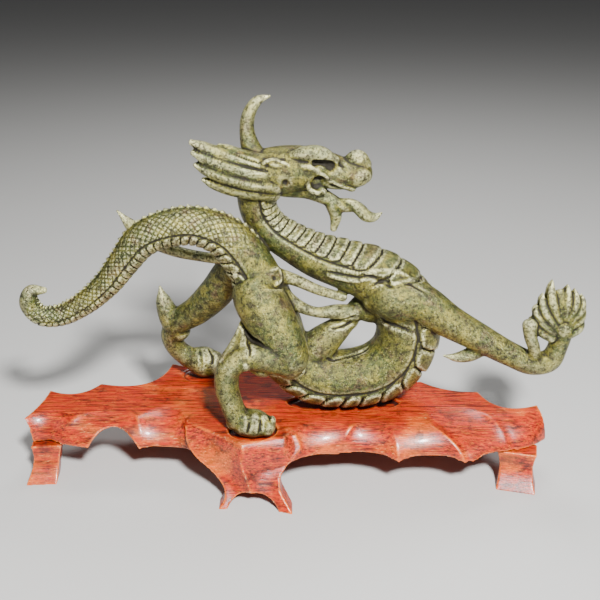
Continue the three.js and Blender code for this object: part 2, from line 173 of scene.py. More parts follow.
def add_sheet(columns: int, rows: int) -> tuple[bpy.types.Object, np.ndarray, np.ndarray]:
    """Adds a flat grid and says where each vertex stands in it.

    Returns:
        The grid, and each vertex's column and row.
    """
    deselect_all()
    bpy.ops.mesh.primitive_grid_add(x_subdivisions=columns, y_subdivisions=rows, size=2)
    grid = bpy.context.object
    flat = np.empty(3 * len(grid.data.vertices), np.float32)
    grid.data.vertices.foreach_get("co", flat)
    place = flat.reshape(-1, 3)
    column = np.rint((place[:, 0] + 1) / 2 * columns).astype(int)
    row = np.rint((place[:, 1] + 1) / 2 * rows).astype(int)
    return grid, column, row


# ---- strands: the round-ended tubes that the casting is laid up from ------------------------

@dataclass(frozen=True)
class Strand:
    """A round-ended tube laid along stations of x, y, z and radius.

    The belly side is on the left of travel, at angle 0, and the back is half a turn away.
    """

    stations: Sequence[Station]
    grain: float = 0.8
    cap_rows: int = 6

    def walk(self) -> "Walk":
        """Even steps along the stations."""
        middle = through([s[:3] for s in self.stations])
        radii = through([[i, s[3]] for i, s in enumerate(self.stations)], even=True)[:, 1]
        length = arc_lengths(middle)
        count = max(int(length[-1] / self.grain), 8)
        along = np.linspace(0, length[-1], count + 1)
        centre = np.stack([np.interp(along, length, middle[:, i]) for i in range(3)], 1)
        travel = unit(np.gradient(centre, axis=0))
        belly = unit(np.stack([-travel[:, 2], 0 * travel[:, 0], travel[:, 0]], 1))
        return Walk(
            along=along, centre=centre, radius=np.interp(along, length, radii),
            share=np.interp(along, length, np.linspace(0, 1, len(length))),
            travel=travel, belly=belly, across=unit(np.cross(travel, belly)))

    def build(self) -> bpy.types.Object:
        """Lays a grid along the stations.

        Returns:
            The tube, in the shared frame.
        """
        walk = self.walk()
        count = len(walk.along) - 1
        sides = max(int(2 * math.pi * max(s[3] for s in self.stations) / self.grain), 16)
        caps = self.cap_rows
        grid, column, row = add_sheet(sides, count + 2 * caps)
        ring = np.clip(row - caps, 0, count)
        beyond = np.maximum(caps - row, 0) - np.maximum(row - caps - count, 0)
        turn = np.abs(beyond) / caps * math.pi / 2
        angle = 2 * math.pi * (column % sides) / sides - math.pi
        r_cap = walk.radius[ring] * np.cos(turn)
        reach = -np.sign(beyond) * 0.8 * walk.radius[ring] * np.sin(turn)
        spot = (
            walk.centre[ring] + walk.travel[ring] * reach[:, None]
            + walk.belly[ring] * (r_cap * np.cos(angle))[:, None]
            - walk.across[ring] * (r_cap * np.sin(angle))[:, None]
        )
        write_points(grid, spot)
        return grid


@dataclass(frozen=True)
class Walk:
    """Even steps along a strand, one row for each."""

    along: np.ndarray
    centre: np.ndarray
    radius: np.ndarray
    share: np.ndarray
    travel: np.ndarray
    belly: np.ndarray
    across: np.ndarray

    def nearest(self, points: np.ndarray) -> np.ndarray:
        """The step that each point lies closest to, measured in radii."""
        stride = 10
        coarse = np.arange(0, len(self.along), stride)
        best = np.zeros(len(points), int)
        least = np.full(len(points), np.inf)
        for step in coarse:
            gap = np.linalg.norm(points - self.centre[step], axis=1) / self.radius[step]
            closer = gap < least
            best[closer], least[closer] = step, gap[closer]
        start = best.copy()
        for shift in range(-stride, stride + 1):
            step = np.clip(start + shift, 0, len(self.along) - 1)
            gap = np.linalg.norm(points - self.centre[step], axis=1) / self.radius[step]
            closer = gap < least
            best[closer], least[closer] = step[closer], gap[closer]
        return best


def add_ball(centre: Point, half: Point, turn_y: float = 0, sides: int = 32) -> bpy.types.Object:
    """A stretched ball.

    Args:
        centre: its middle, in drawing millimetres.
        half: its half sizes before it is turned.
        turn_y: degrees about Y.
        sides: how many faces go round it.

    Returns:
        The ball, with its place in its mesh.
    """
    deselect_all()
    bpy.ops.mesh.primitive_uv_sphere_add(segments=sides, ring_count=sides // 2, radius=1)
    piece = bpy.context.object
    flat = np.empty(3 * len(piece.data.vertices), np.float32)
    piece.data.vertices.foreach_get("co", flat)
    place = flat.reshape(-1, 3).astype(float) * np.array(half)
    cos, sin = math.cos(math.radians(turn_y)), math.sin(math.radians(turn_y))
    about_y = np.array([[cos, 0, sin], [0, 1, 0], [-sin, 0, cos]])
    write_points(piece, place @ about_y.T + np.array(centre))
    return piece


# ---- the skin: one fused mesh that is tooled ------------------------------------------------

class Fade(Enum):
    """Which ends of a stroke die away."""

    START = "start"
    BOTH = "both"


@dataclass
class Skin:
    """The vertices of one fused mesh, in drawing millimetres, while they are tooled."""

    piece: bpy.types.Object
    points: np.ndarray = field(init=False)
    normals: np.ndarray = field(init=False)
    edges: np.ndarray = field(init=False)
    valence: np.ndarray = field(init=False)

    def __post_init__(self) -> None:
        """Reads the mesh."""
        mesh = self.piece.data
        self.points = read_points(self.piece)
        flat = np.empty(2 * len(mesh.edges), np.int32)
        mesh.edges.foreach_get("vertices", flat)
        self.edges = flat.reshape(-1, 2)
        self.valence = np.bincount(self.edges.ravel(), minlength=len(self.points))
        self.read_normals()

    def read_normals(self) -> None:
        """Takes the normals of the shape as it stands now."""
        write_points(self.piece, self.points)
        flat = np.empty(3 * len(self.points), np.float32)
        self.piece.data.vertices.foreach_get("normal", flat)
        self.normals = flat.reshape(-1, 3).astype(float)

    def spread(self, values: np.ndarray) -> np.ndarray:
        """Each vertex's mean over its neighbours, of values with one or more columns."""
        a, b = self.edges.T
        columns = values.reshape(len(values), -1).T
        total = [np.bincount(a, c[b], len(values)) + np.bincount(b, c[a], len(values)) for c in columns]
        return (np.array(total) / np.maximum(self.valence, 1)).T.reshape(values.shape)

    def soften(self, rounds: int, share: float = 0.5) -> None:
        """Relaxes the whole skin a little, as wear and casting do."""
        for _ in range(rounds):
            self.points += share * (self.spread(self.points) - self.points)

    def fillet(self, rounds: int, where: np.ndarray) -> None:
        """Rounds off the sharp valleys where parts meet.

        Args:
            rounds: how far they are rounded.
            where: for each vertex, how much of it is wanted, from 0 to 1.
        """
        valley = smoothstep(0.10, 0.5, self.hollowness(8, 0.5))
        for _ in range(4):
            valley = np.maximum(valley, self.spread(valley))
        weight = (0.6 * valley * where)[:, None]
        for _ in range(rounds):
            self.points += weight * (self.spread(self.points) - self.points)
        self.read_normals()

    def reached(self, path: np.ndarray, reach: float) -> tuple[np.ndarray, np.ndarray, np.ndarray]:
        """The vertices near a path.

        Returns:
            Their numbers, the number of the nearest path sample, and the distance to it.
        """
        low, high = path.min(0) - reach, path.max(0) + reach
        found = np.flatnonzero(((self.points > low) & (self.points < high)).all(1))
        nearest = np.zeros(len(found), int)
        distance = np.full(len(found), np.inf)
        for index, sample in enumerate(path):
            gap = np.linalg.norm(self.points[found] - sample, axis=1)
            closer = gap < distance
            nearest[closer] = index
            distance[closer] = gap[closer]
        near = distance < reach
        return found[near], nearest[near], distance[near]

    def stroke(self, points: Sequence[Point], width: float, height: float,
               fade: Fade = Fade.BOTH, sharp: float = 2.0) -> None:
        """Raises the skin along a curve, or sinks it where height is negative.

        Args:
            points: what the curve passes through.
            width: half width of the stroke.
            height: how far the skin moves in the middle of it.
            fade: which ends die away.
            sharp: 2 for a round section, 1 for a sharp one.
        """
        path = through(points, per_span=10)
        found, nearest, distance = self.reached(path, 2.6 * width)
        share = nearest / max(len(path) - 1, 1)
        strength = smoothstep(0, 0.25, share)
        if fade is Fade.BOTH:
            strength = strength * smoothstep(0, 0.25, 1 - share)
        lift = height * strength * np.exp(-((distance / width) ** sharp))
        self.points[found] += self.normals[found] * lift[:, None]

    def dent(self, centre: Point, radius: float, depth: float) -> None:
        """Pushes the skin in round a point, or out where depth is negative."""
        found, _, distance = self.reached(np.array([centre], float), 2.4 * radius)
        drop = depth * np.exp(-((distance / radius) ** 2))
        self.points[found] -= self.normals[found] * drop[:, None]

    def hollowness(self, rounds: int, scale: float) -> np.ndarray:
        """How far the skin lies below a relaxed copy of itself, from -1 to 1.

        Args:
            rounds: how far the copy is relaxed.
            scale: the depth in millimetres that counts as 1.
        """
        relaxed = self.points
        for _ in range(rounds):
            relaxed = self.spread(relaxed)
        depth = ((relaxed - self.points) * self.normals).sum(1)
        return np.tanh(depth / scale)

    def keep(self, name: str, values: np.ndarray) -> None:
        """Writes one number for each vertex as a named attribute."""
        made = self.piece.data.attributes.new(name, "FLOAT", "POINT")
        made.data.foreach_set("value", values.astype(np.float32))


def fuse(parts: Sequence[bpy.types.Object], name: str, voxel: float) -> bpy.types.Object:
    """Joins closed parts and gives them one skin.

    Args:
        parts: closed objects that may pass through each other.
        name: the name of the whole.
        voxel: size of the skin's faces, in millimetres.
    """
    whole = join_all(parts, name)
    apply_modifier(whole, "REMESH", mode="VOXEL", voxel_size=voxel * MM)
    return whole


def thin_out(piece: bpy.types.Object, triangles: int) -> None:
    """Takes faces away where the skin is smooth, down to a number of triangles."""
    now = sum(len(face.vertices) - 2 for face in piece.data.polygons)
    if now > triangles:
        apply_modifier(piece, "DECIMATE", ratio=triangles / now)
    choose(piece)
    bpy.ops.object.shade_smooth()


# ---- shader maths ---------------------------------------------------------------------------

class Value:
    """One output socket of a material, with the usual operators as Math nodes."""

    def __init__(self, paint: "Paint", socket: bpy.types.NodeSocket) -> None:
        """Wraps a socket."""
        self.paint = paint
        self.socket = socket

    def _math(self, operation: str, *others: "Value | float",
              first: "Value | float | None" = None) -> "Value":
        """Adds a Math node for this value and others."""
        values = [self if first is None else first, *others]
        return self.paint.node("Math", {"operation": operation}, *values)

    def __add__(self, other: "Value | float") -> "Value":
        """Sum."""
        return self._math("ADD", other)

    __radd__ = __add__

    def __mul__(self, other: "Value | float") -> "Value":
        """Product."""
        return self._math("MULTIPLY", other)

    __rmul__ = __mul__

    def __sub__(self, other: "Value | float") -> "Value":
        """Difference."""
        return self._math("SUBTRACT", other)

    def __rsub__(self, other: "Value | float") -> "Value":
        """Difference the other way round."""
        return self._math("SUBTRACT", self, first=other)

    def at_least(self, other: "Value | float") -> "Value":
        """The larger of two."""
        return self._math("MAXIMUM", other)

    def step(self, low: float, high: float) -> "Value":
        """0 below low, 1 above high, with a soft slope between."""
        return self.paint.node(
            "MapRange", {"interpolation_type": "SMOOTHSTEP", "clamp": True}, self, low, high, 0.0, 1.0)


class Paint:
    """A material under construction."""

    def __init__(self, name: str) -> None:
        """Makes an empty material with one Principled shader."""
        self.material = bpy.data.materials.new(name)
        self.material.use_nodes = True
        self.tree = self.material.node_tree
        self.shader = self.tree.nodes["Principled BSDF"]
        self.place = self.node("TexCoord", {}, out="Object")

    def node(self, kind: str, settings: dict[str, object], *inputs: object, out: str | int = 0,
             **named: object) -> Value:
        """Adds one node.

        Args:
            kind: the node's type without its ShaderNode prefix.
            settings: properties, set before its sockets.
            inputs: values or links for its sockets in order; None leaves one alone.
            out: which output to hand back.
            named: values or links for sockets by name, with _ for a space.
        """
        made = self.tree.nodes.new(f"ShaderNode{kind}")
        for key, value in settings.items():
            setattr(made, key, value)
        for socket, value in zip(made.inputs, inputs):
            self._feed(socket, value)
        for key, value in named.items():
            self._feed(made.inputs[key.replace("_", " ")], value)
        return Value(self, made.outputs[out])

    def _feed(self, socket: bpy.types.NodeSocket, value: object) -> None:
        """Links or sets one input socket."""
        if value is None:
            return
        if isinstance(value, Value):
            self.tree.links.new(value.socket, socket)
        elif isinstance(value, tuple) and len(value) == 3 and socket.type == "RGBA":
            socket.default_value = (*value, 1)
        else:
            socket.default_value = value

    def attribute(self, name: str) -> Value:
        """A number kept on the mesh."""
        return self.node("Attribute", {"attribute_name": name}, out="Fac")

    def noise(self, size: float, detail: float = 3, rough: float = 0.55, stretch: Point = (1, 1, 1),
              warp: float = 0.0) -> Value:
        """Cloudy noise whose blotches are about size millimetres across."""
        place = self.stretched(stretch)
        return self.node("TexNoise", {}, Vector=place, Scale=1 / (size * MM), Detail=detail,
                         Roughness=rough, Distortion=warp)

    def stretched(self, stretch: Point) -> Value:
        """Object coordinates scaled along each axis."""
        if stretch == (1, 1, 1):
            return self.place
        return self.node("Mapping", {}, Vector=self.place, Scale=stretch)

    def mix(self, share: object, low: object, high: object) -> Value:
        """Colour low where share is 0 and high where it is 1."""
        made = self.tree.nodes.new("ShaderNodeMix")
        made.data_type = "RGBA"
        self._feed(made.inputs["Factor"], share)
        for socket, value in zip([s for s in made.inputs if s.type == "RGBA"], (low, high)):
            self._feed(socket, value)
        return Value(self, next(s for s in made.outputs if s.type == "RGBA"))

    def finish(self, colour: Value, roughness: Value | float, height: Value | None = None,
               depth: float = 0.1, **constants: float) -> bpy.types.Material:
        """Feeds the shader.

        Args:
            colour: the base colour.
            roughness: the roughness.
            height: what the bump follows, from 0 to 1.
            depth: how deep the bump is, in millimetres.
            constants: plain values by socket name, with _ for a space.
        """
        self._feed(self.shader.inputs["Base Color"], colour)
        self._feed(self.shader.inputs["Roughness"], roughness)
        if height is not None:
            bump = self.node("Bump", {}, Strength=1.0, Distance=depth * MM, Height=height)
            self._feed(self.shader.inputs["Normal"], bump)
        for key, value in constants.items():
            self._feed(self.shader.inputs[key.replace("_", " ")], value)
        return self.material


# ---- finishes -------------------------------------------------------------------------------

@dataclass(frozen=True)
class Patina:
    """Green-brown patina on cast bronze, darker in its crevices, partly as patina and partly as painted
    shade, with painted shade in its broad hollows, and pale on its high edges, partly as wear and partly as
    a painted highlight.
    """

    olive: tuple[float, float, float] = (0.115, 0.112, 0.020)
    moss: tuple[float, float, float] = (0.055, 0.078, 0.016)
    ochre: tuple[float, float, float] = (0.320, 0.275, 0.042)
    # Near-black for real pits and mottling, also used as painted shade in crevices and broad hollows.
    soot_and_shade: tuple[float, float, float] = (0.014, 0.011, 0.006)
    # Pale worn-metal colour for random flecks and the high edges; on the high edges it is also a painted
    # highlight.
    rubbed_and_highlight: tuple[float, float, float] = (0.860, 0.840, 0.460)
    umber: tuple[float, float, float] = (0.110, 0.060, 0.028)
    roughness: float = 0.27

    def material(self) -> bpy.types.Material:
        """The finish as nodes."""
        paint = Paint("green_patina")
        hollow = paint.attribute("hollow")
        broad = paint.attribute("broad_hollow")
        clouds = paint.noise(30, 4, 0.6)
        blotch = paint.noise(8, 5, 0.65, warp=0.4)
        patch = paint.noise(3.2, 4, 0.7)
        speck = paint.noise(1.3, 4, 0.75)
        grit = paint.noise(0.7, 3, 0.7)
        colour = paint.mix(clouds.step(0.40, 0.60), self.moss, self.olive)
        colour = paint.mix(blotch.step(0.48, 0.68) * 0.75, colour, self.ochre)
        colour = paint.mix((1 - blotch).step(0.52, 0.66) * 0.75, colour, self.umber)
        colour = paint.mix(patch.step(0.50, 0.62) * 0.35, colour, self.ochre)
        colour = paint.mix(grit.step(0.58, 0.68) * 0.4, colour, self.rubbed_and_highlight)
        # Pale on convex edges: partly wear through the patina, partly a painted highlight.
        rubbed_and_highlight = (0.0 - hollow).step(0.05, 0.75) * (0.35 + 0.65 * speck.step(0.35, 0.65))
        colour = paint.mix(rubbed_and_highlight * 0.75, colour, self.rubbed_and_highlight)
        # Darker in fine crevices, partly patina and partly painted shade, and in the broad hollows between
        # parts, which is painted shade.
        crevice_patina_and_shade = (hollow.step(0.03, 0.5) * 0.97).at_least(broad.step(0.12, 0.8) * 0.8)
        colour = paint.mix(crevice_patina_and_shade, colour, self.soot_and_shade)
        colour = paint.mix((1 - patch).step(0.51, 0.63) * 0.7, colour, self.soot_and_shade)
        pits = (1 - speck).step(0.50, 0.62)
        colour = paint.mix(pits * 0.85, colour, self.soot_and_shade)
        rough = self.roughness + 0.25 * crevice_patina_and_shade + 0.14 * grit
        height = 0.4 * patch + 0.35 * speck + 0.25 * grit
        return paint.finish(colour, rough, height, depth=1.3, Metallic=0.5)


@dataclass(frozen=True)
class Lacquer:
    """Red-brown lacquer over wood with straight grain, worn to orange along its edges, with painted shade
    making its creases and broad hollows darker.
    """

    red: tuple[float, float, float] = (0.44, 0.022, 0.004)
    brown: tuple[float, float, float] = (0.070, 0.005, 0.003)
    # Near-black for real stains and pores, also used as painted shade in creases and broad hollows.
    smoke_and_shade: tuple[float, float, float] = (0.020, 0.006, 0.005)
    orange: tuple[float, float, float] = (0.78, 0.16, 0.008)
    bare: tuple[float, float, float] = (0.80, 0.56, 0.32)
    roughness: float = 0.27

    def material(self) -> bpy.types.Material:
        """The finish as nodes."""
        paint = Paint("red_lacquer")
        hollow = paint.attribute("hollow")
        broad = paint.attribute("broad_hollow")
        grain = paint.noise(1.3, 5, 0.7, stretch=(0.05, 1, 1))
        fibre = paint.noise(0.55, 3, 0.7, stretch=(0.07, 1, 1))
        pores = paint.noise(0.7, 3, 0.8, stretch=(0.30, 1, 1))
        clouds = paint.noise(22, 4, 0.6, stretch=(0.6, 1, 1))
        stains = paint.noise(11, 4, 0.65, warp=0.3)
        colour = paint.mix(grain.step(0.36, 0.60), self.brown, self.red)
        colour = paint.mix((fibre.step(0.50, 0.66)) * 0.45, colour, self.orange)
        colour = paint.mix(clouds.step(0.50, 0.64) * 0.6 * (0.4 + 0.6 * grain), colour, self.orange)
        colour = paint.mix((1 - stains).step(0.53, 0.68) * 0.7, colour, self.smoke_and_shade)
        colour = paint.mix((1 - pores).step(0.54, 0.66) * 0.7, colour, self.smoke_and_shade)
        worn = (0.0 - hollow).step(0.25, 0.95)
        colour = paint.mix(worn * (0.2 + 0.8 * stains.step(0.35, 0.6)), colour, self.orange)
        scuffed = worn * paint.noise(1.6, 5, 0.8).step(0.56, 0.64)
        colour = paint.mix(scuffed * 0.85, colour, self.bare)
        scratched = fibre.step(0.60, 0.66) * clouds.step(0.46, 0.62) * pores.step(0.45, 0.6)
        colour = paint.mix(scratched * 0.5, colour, self.bare)
        # Painted shade: darker in the carving's creases.
        colour = paint.mix(hollow.step(0.15, 0.7) * 0.9, colour, self.smoke_and_shade)
        # Painted shade: darker in the broad hollows of the carving.
        colour = paint.mix(broad.step(0.05, 0.8) * 0.75, colour, self.smoke_and_shade)
        rough = self.roughness + 0.16 * fibre + 0.2 * scuffed
        return paint.finish(colour, rough, 0.6 * grain + 0.4 * pores, depth=0.22, Coat_Weight=0.2,
                            Coat_Roughness=0.12)


@dataclass(frozen=True)
class FloorPaint:
    """Plain pale paint."""

    pale: tuple[float, float, float] = (0.46, 0.455, 0.44)

    def material(self) -> bpy.types.Material:
        """The finish as nodes."""
        paint = Paint("pale_floor")
        tone = paint.noise(60, 2, 0.5)
        colour = paint.mix(tone * 0.06, self.pale, (0.38, 0.38, 0.38))
        return paint.finish(colour, 0.7)


# ---- the casting ----------------------------------------------------------------------------

SPINE: list[Station] = [
    (-23, 13, 160, 9), (-23, 15, 150, 9.5), (-21, 17, 140, 9.5), (-15, 17, 131.5, 9.5),
    (-4, 16, 124, 10.3), (9, 14, 117.5, 11.7), (25, 12, 112.5, 13.2), (39, 10, 107.5, 14.8),
    (52, 9, 97, 16.2), (58, 8, 80, 16.8), (54, 7, 63.5, 16.6), (43, 6, 53.5, 16.4),
    (27, 5, 49.8, 15.6), (11, 5, 50.5, 15.2), (-1, 5, 57, 14.6), (-9.5, 6, 69, 14.5),
    (-13.5, 6, 83, 14), (-18, 5, 99, 13), (-27, 5, 118, 12), (-38, 5, 131.5, 10.8),
    (-53, 5, 137.5, 9.8), (-68, 5, 136, 9.3), (-81, 5, 130, 8.6), (-91.5, 5, 117.5, 7.4),
    (-101, 5, 105.5, 6.6), (-115, 5, 93.5, 5.9), (-128, 5, 87, 5.5), (-138, 4, 87.5, 5.2),
    (-143.5, 4, 94.5, 5), (-141.3, 4, 101.2, 3.8), (-134.5, 4, 102, 1.8),
]

LIMBS: dict[str, list[Station]] = {
    "shoulder_and_arm": [
        (42, 6, 100, 11.5), (50, 1, 99, 12.5), (63, -1, 96.5, 11), (78.5, -4, 87.5, 8.9),
        (94.5, -6, 79, 7.6), (111, -7, 70, 6.6), (123, -8, 65.2, 6.4), (132, -8, 66.8, 6),
        (135.5, -8, 75, 5.2), (136.5, -8, 84, 6)],
    "elbow_spur": [(97, -6, 74, 4.5), (90, -6.5, 69.5, 3.9), (83, -7, 68, 2.6), (76, -7, 69, 0.6)],
    "thumb": [(124, -9, 67, 3.4), (122, -12, 76, 3.2), (119, -13, 84, 3.4), (118.5, -12, 89.5, 4)],
    "near_thigh": [(-18, 3, 111, 10), (-22, -2, 103.5, 13), (-16.5, -8, 93, 13.4),
                   (-9, -13, 80, 12), (-5, -16, 70, 9.4), (-5.5, -16, 65, 6)],
    "near_shank": [(-5, -16, 70, 8.6), (-16.5, -19, 74, 7.7), (-28, -21, 75, 6.7),
                   (-36, -23, 70.5, 6.4), (-38, -23, 60, 6.4), (-35.5, -24, 49, 6),
                   (-32, -24, 40, 6.4)],
    "near_paw": [(-35, -23, 38.5, 5), (-30, -24, 38.5, 7.2), (-22.5, -25, 38.2, 7.4),
                 (-17, -26, 37.2, 5.4)],
    "near_calf_tuft": [(-18, -15, 70, 9), (-25, -13, 74, 8.5), (-29, -11, 81, 5.4),
                       (-31, -8, 89, 0.8)],
    "far_leg": [(-28, 12, 116, 8), (-37, 18, 107.5, 8.8), (-45.5, 24, 93, 9.4),
                (-58, 30, 78.5, 8.2), (-69, 34, 69.5, 7.2), (-74, 36, 60, 6.2),
                (-71.5, 37, 51, 5.8), (-65, 37, 45, 6)],
    "far_paw": [(-67, 37, 44.5, 5), (-62, 37, 43.5, 7.5), (-55.5, 36, 42.5, 9), (-50, 35, 42, 7.4)],
    "far_hock_spur": [(-69, 35, 63, 6.5), (-73.5, 34, 71, 6.4), (-77, 33, 83, 4.4),
                      (-78.5, 33, 92, 0.6)],
    "crescent_flame": [(-36, 9, 117, 3), (-53, 17, 116, 2.8), (-66.5, 19, 118.3, 3.2),
                       (-80, 20, 124.5, 4), (-88, 20, 131, 3.8), (-96, 20, 140.5, 0.6)],
    "upper_flame": [(-18, 3, 113, 4.2), (-2.5, 1, 109, 3.2), (9.5, 2, 103, 2.7), (23, 5, 97.5, 2.4)],
    "lower_flame": [(-12, 3, 103, 4.2), (-1, 1, 94.5, 3.3), (8.5, 1, 90.7, 2.8), (19, 3, 90, 4),
                    (29, 6, 88, 4.4)],
    "far_foreleg": [(48, 14, 94, 12), (38, 12, 90, 10.5), (29, 9, 87, 5.6), (26, 8, 82, 5.2)],
    "far_paw_on_coil": [(28, 9, 83, 4.4), (20, 6, 78, 7), (11, 5, 70, 9.4), (4, 5, 62, 10)],
}

HEAD: dict[str, list[Station]] = {
    "skull": [(-25, 13, 160, 8), (-20, 13, 163.2, 10.8), (-11, 13, 164.3, 12.2),
              (0, 13, 165.4, 11.5), (10, 13, 165.2, 9.8), (21, 13, 162.8, 8.4),
              (29, 13, 162.6, 7.2), (32.5, 13, 163, 5.5)],
    "nose": [(25, 13, 168, 4.2), (29, 13, 170, 5), (32, 13, 166.5, 4.6)],
    "jaw": [(-8, 13, 157, 6.5), (4, 13, 154.5, 5.2), (14, 13, 149.5, 3.8), (22, 13, 145.2, 3.1),
            (28.5, 13, 144, 1.8)],
    "beard": [(16, 13, 148, 3.8), (18.5, 13, 140, 3.2), (17.5, 13, 133, 1.9)],
    "tongue": [(21, 13, 148, 1.6), (26, 13, 147, 2.4), (30.5, 13, 143.8, 3.3),
               (34.5, 13, 140, 3.2), (38.5, 13, 139.4, 2.4), (42.5, 13, 141.8, 0.5)],
    "horn": [(-22, 13, 170, 6), (-25, 15, 177, 4.9), (-26.5, 15, 184.5, 3.8),
             (-26, 15, 191, 3.5), (-24, 15, 196, 3.1), (-20.5, 15, 200, 2.4), (-15, 15, 202, 0.7)],
}


@dataclass(frozen=True)
class Lock:
    """One swept-back lock of the mane: its root and tip as x, z, and how far it stands off."""

    root: tuple[float, float]
    tip: tuple[float, float]
    thick: float
    off: float


LOCKS = [
    Lock((-14, 168.5), (-41.0, 177.2), 4.0, 5.0), Lock((-13, 165.0), (-55.0, 179.0), 4.4, 7.6),
    Lock((-12, 160.5), (-54.2, 173.6), 4.6, 9.2), Lock((-12, 156.2), (-53.0, 167.4), 4.6, 9.4),
    Lock((-13, 152.6), (-49.5, 159.8), 4.2, 7.6),
]


# The tendons that fan out behind the near thigh, down to its hock.
TENDONS = [
    [(-31, -12, 88, 1.2), (-34, -18, 80, 3.0), (-38, -23, 73, 4.2)],
    [(-30, -13, 87, 1.2), (-29, -20, 79, 3.8), (-28, -24, 73, 4.8)],
]


@dataclass
class BodyRelief:
    """What stands up from the long body: belly plates and the saw-edged ridge of the tail."""

    pitch: float = 0.56          # length of a belly plate, in body radii
    rise: float = 0.085          # how far a plate's free edge stands proud, in body radii
    bulge: float = 0.42          # how far the middle of a plate's edge leads, in plate lengths
    plates_end: float = 0.93     # share of the spine where the plates stop
    crest_from: float = 0.60     # share of the spine where the ridge starts
    tooth: float = 3.3           # length of a ridge tooth
    tooth_rise: float = 1.3      # height of a ridge tooth
    scale: float = 3.2           # size of the tail's scales
    scale_depth: float = 0.2    # depth of the lines between them

    def half_band(self, share: np.ndarray) -> np.ndarray:
        """Half the angle that the belly band takes up."""
        return 1.28 + 0.06 * smoothstep(0.22, 0.34, share)

    def raise_skin(self, skin: Skin) -> None:
        """Lifts the plates and the ridge out of the fused skin."""
        walk = Strand(SPINE, grain=0.5).walk()
        step = walk.nearest(skin.points)
        offset = skin.points - walk.centre[step]
        radius = walk.radius[step]
        out = np.linalg.norm(offset, axis=1) / radius
        angle = np.arctan2(-(offset * walk.across[step]).sum(1), (offset * walk.belly[step]).sum(1))
        bare = 1 - smoothstep(0.07, 0.16, np.abs(out - 1))
        plates = np.cumsum(np.gradient(walk.along) / (self.pitch * walk.radius))
        lift = self.plate(plates[step], angle, radius, walk.share[step])
        lift += self.ridge(walk.along[step], angle, radius, walk.share[step])
        lift -= self.net(walk.along[step], angle, radius, walk.share[step])
        skin.points += skin.normals * (lift * bare)[:, None]
        skin.read_normals()

    def plate(self, travelled: np.ndarray, angle: np.ndarray, radius: np.ndarray,
              share: np.ndarray) -> np.ndarray:
        """Height of the belly plates, whose free edges overlap the next ones."""
        across = np.abs(angle) / self.half_band(share)
        place = travelled + self.bulge * np.minimum(across, 1.2) ** 2
        frac = place - np.floor(place)
        swell = 0.45 + 0.55 * np.sin(np.clip(frac, 0, 1) * math.pi * 0.62)
        cut = np.minimum(frac, 1 - frac)
        groove = np.exp(-((cut / 0.07) ** 2))
        edge = 1 - smoothstep(0.90, 0.99, across + 0.10 * np.abs(2 * frac - 1) ** 2)
        on = (1 - smoothstep(self.plates_end - 0.03, self.plates_end, share)) * smoothstep(0, 0.02, share)
        rim = -0.4 * np.exp(-(((across - 1.02) / 0.05) ** 2))
        return self.rise * radius * on * (edge * (swell - 1.5 * groove) + rim)

    def net(self, along: np.ndarray, angle: np.ndarray, radius: np.ndarray,
            share: np.ndarray) -> np.ndarray:
        """Depth of the crossed lines that part the tail's fine scales."""
        lines = [(along + sign * angle * radius) / self.scale for sign in (-1, 1)]
        cut = np.minimum(*[np.abs(line - np.rint(line)) for line in lines])
        side = smoothstep(1.3, 1.45, np.abs(angle)) * (1 - smoothstep(2.7, 2.9, np.abs(angle)))
        on = smoothstep(self.crest_from, self.crest_from + 0.04, share) * (1 - smoothstep(0.9, 0.95, share))
        return self.scale_depth * on * side * np.exp(-((cut / 0.13) ** 2))

    def ridge(self, along: np.ndarray, angle: np.ndarray, radius: np.ndarray,
              share: np.ndarray) -> np.ndarray:
        """Height of the saw-edged ridge along the back."""
        back = np.exp(-(((math.pi - np.abs(angle)) * radius / 1.15) ** 2))
        tooth = along / self.tooth
        tooth = tooth - np.floor(tooth)
        saw = np.where(tooth < 0.75, tooth / 0.75, (1 - tooth) / 0.25)
        on = smoothstep(self.crest_from, self.crest_from + 0.02, share)
        on = on * (1 - smoothstep(0.93, 0.97, share))
        return on * back * (0.25 + saw) * self.tooth_rise


